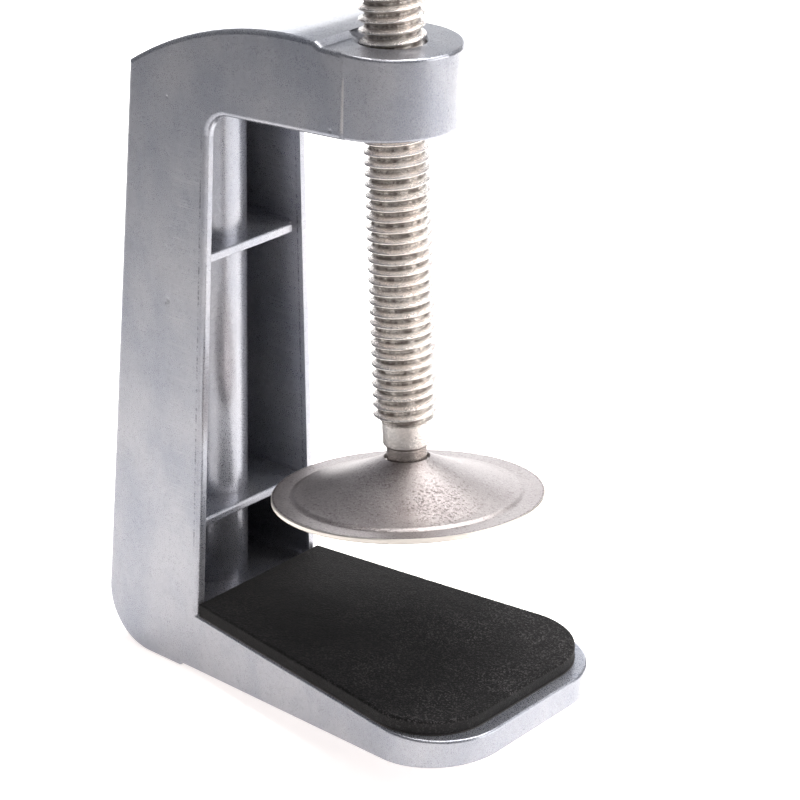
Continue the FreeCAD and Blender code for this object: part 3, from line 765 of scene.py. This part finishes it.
disc_warp = 0.00003
neck_gap, disc_drop = 0.00035, 0.00177
hole_radius = neck_radius + neck_gap
disc_top = shank_low - disc_drop
rim_low = disc_top - disc_height
cone_rise = disc_height - sheet_thick - ring_step
cone_sweep = 1.22


def sheet_height(radius):
    """Height of the sheet's underside above the rim's."""
    if radius > ring_outer:
        return 0.0
    if radius > ring_inner:
        share = (ring_outer - radius) / (ring_outer - ring_inner)
        return ring_step * share * share * (3 - 2 * share)
    share = (ring_inner - radius) / (ring_inner - hole_radius)
    return ring_step + cone_rise * share ** cone_sweep


radii = [disc_radius - edge_break, *rim_radii]
for i in range(ring_points + 1):
    radii.append(ring_outer - (ring_outer - ring_inner) * i / ring_points)
for i in range(1, cone_points + 1):
    radii.append(ring_inner - (ring_inner - hole_radius - lip_inset) * i / cone_points)
under = [(r, rim_low + sheet_height(r)) for r in radii]
over = [(r, z + sheet_thick) for r, z in under]
rim_edge = [(disc_radius, rim_low + edge_break), (disc_radius, rim_low + sheet_thick - edge_burr)]
lip = [(hole_radius, disc_top - sheet_thick + lip_round), (hole_radius, disc_top - lip_round)]
closed = list(reversed(under)) + rim_edge + over + list(reversed(lip))
shell = bmesh.new()
lathe(shell, closed + closed[:1], disc_columns)
bmesh.ops.remove_doubles(shell, verts=shell.verts, dist=1e-7)
for vertex in shell.verts:
    around = math.atan2(vertex.co.y, vertex.co.x)
    out = vertex.co.xy.length / disc_radius
    vertex.co.z += disc_warp * out * (math.sin(2 * around + 0.6) + 0.5 * math.sin(5 * around))
bmesh.ops.transform(shell, matrix=disc_place, verts=shell.verts)
bmesh.ops.recalc_face_normals(shell, faces=shell.faces)
disc = linked("pressure_disc_stamped", shell)
disc.data.shade_smooth()
disc.data.set_sharp_from_angle(angle=math.radians(35))

satin, tree, shader = new_finish("satin_steel", Metallic=1.0)
where, axes, out = turned_axes(tree, disc_place)
grain = noise(tree, 4200.0, 3.0)
rolled = noise(tree, 1.0, 3.0, (260.0, 2600.0, 260.0), where=where)
cloud = noise(tree, 95.0, 4.0, rough=0.6)
# One patch of the cone is lightly pitted.
spot = add(tree, "ShaderNodeVectorMath", operation="DISTANCE")
tree.links.new(where, spot.inputs[0])
spot.inputs[1].default_value = (0.0104, -0.0050, rim_low + 0.0022)
pitted = ramp(tree, spot.outputs["Value"], 0.0070, 0.0030)
pits = ramp(tree, noise(tree, 2300.0, 3.0, rough=0.65), 0.45, 0.64)
# Painted reflection: the rim's edge gets a pale cream colour that stands for the white table mirrored in
# it.
edge = ramp(tree, out, disc_radius - 0.00020, disc_radius - 0.00006)
colour = blend_colours(tree, ramp(tree, cloud, 0.3, 0.7), (0.34, 0.300, 0.295), (0.43, 0.395, 0.390))
specks = ramp(tree, noise(tree, 2300.0, 3.0, rough=0.75), 0.52, 0.66)
colour = tint(tree, colour, specks, 0.55, (0.14, 0.115, 0.11))
colour = tint(tree, colour, ramp(tree, grain, 0.50, 0.70), 0.40, (0.66, 0.62, 0.61))
colour = tint(tree, colour, maths(tree, "MULTIPLY", pits, pitted), 0.45, (0.16, 0.13, 0.125))
colour = blend_colours(tree, edge, colour, (0.90, 0.84, 0.77))
burr = between(tree, out, disc_radius - 0.00042, disc_radius - 0.00018, 0.00006)
burr = maths(tree, "MULTIPLY", burr, ramp(tree, noise(tree, 1800.0, 4.0, rough=0.8), 0.40, 0.58))
colour = tint(tree, colour, burr, 0.70, (0.07, 0.05, 0.045))
tree.links.new(colour, shader.inputs["Base Color"])
gloss = maths(tree, "ADD", ramp(tree, cloud, 0.3, 0.7, 0.30, 0.38), maths(tree, "MULTIPLY", grain, 0.12))
tree.links.new(gloss, shader.inputs["Roughness"])
relief = bump(tree, rolled, 0.25, 0.00001)
sunk = maths(tree, "MULTIPLY", maths(tree, "SUBTRACT", 1.0, pits), pitted)
relief = bump(tree, sunk, 0.8, 0.00006, relief)
relief = bump(tree, noise(tree, 2300.0, 3.0, rough=0.7), 0.7, 0.00008, relief)
relief = bump(tree, grain, 0.40, 0.00002, relief)
tree.links.new(relief, shader.inputs["Normal"])
disc.data.materials.append(satin)
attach(disc, "disc")
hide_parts("pressure_disc")

# --- washer under the disc ------------------------------------------------------------------
# A punched steel washer, trapped on the neck by the peened end; it stops the disc from dropping off.
# It has the same satin finish as the disc.
coat("disc_washer", satin)

# --- tommy bar ------------------------------------------------------------------------------
# A length of 5 mm drawn rod through the head, nickel plated like the screw, with drawing lines. It
# slides in the cross hole until a cap stops it.
drawn, tree, shader = new_finish("drawn_plate", Metallic=1.0)
lines = noise(tree, 1.0, 3.0, (5000.0, 120.0, 5000.0))
dull = noise(tree, 260.0, 4.0)
colour = blend_colours(tree, ramp(tree, dull, 0.3, 0.7), (0.44, 0.415, 0.385), (0.55, 0.525, 0.49))
colour = tint(tree, colour, ramp(tree, lines, 0.55, 0.75), 0.40, (0.28, 0.26, 0.24))
tree.links.new(colour, shader.inputs["Base Color"])
tree.links.new(ramp(tree, lines, 0.3, 0.7, 0.24, 0.40), shader.inputs["Roughness"])
tree.links.new(bump(tree, lines, 0.3, 0.00001), shader.inputs["Normal"])
coat("tommy_bar", drawn)

# --- bar caps -------------------------------------------------------------------------------
# Two dip-moulded caps of black vinyl, pushed over the bar's ends. They are wider than the cross hole,
# so they keep the bar in the head.
vinyl, tree, shader = new_finish("dipped_vinyl", Roughness=0.42)
skin = noise(tree, 1800.0, 3.0)
colour = blend_colours(tree, noise(tree, 300.0, 3.0), (0.014, 0.014, 0.015), (0.026, 0.026, 0.027))
tree.links.new(colour, shader.inputs["Base Color"])
tree.links.new(ramp(tree, skin, 0.3, 0.7, 0.36, 0.52), shader.inputs["Roughness"])
tree.links.new(bump(tree, skin, 0.3, 0.00003), shader.inputs["Normal"])
for name in ("bar_cap_near", "bar_cap_far"):
    coat(name, vinyl)

# --- post lock ------------------------------------------------------------------------------
# A black oxide socket set screw in the back of the spine pushes a white nylon shoe against the post,
# and the soft shoe keeps the screw's end from marking it.
oxide, tree, shader = new_finish("black_oxide", Metallic=0.9)
skin = noise(tree, 2200.0, 3.0)
colour = blend_colours(tree, skin, (0.028, 0.028, 0.031), (0.060, 0.058, 0.060))
tree.links.new(colour, shader.inputs["Base Color"])
tree.links.new(ramp(tree, skin, 0.3, 0.7, 0.28, 0.44), shader.inputs["Roughness"])
tree.links.new(bump(tree, skin, 0.25, 0.00002), shader.inputs["Normal"])
nylon, tree, shader = new_finish("white_nylon", Roughness=0.5, Subsurface_Weight=0.1)
skin = noise(tree, 1600.0, 3.0)
colour = blend_colours(tree, skin, (0.76, 0.745, 0.70), (0.84, 0.83, 0.79))
tree.links.new(colour, shader.inputs["Base Color"])
tree.links.new(bump(tree, skin, 0.2, 0.00002), shader.inputs["Normal"])
for name, finish, slot in (("lock_screw", oxide, "black_oxide_steel"), ("lock_shoe", nylon, "white_nylon")):
    coat(name, finish)
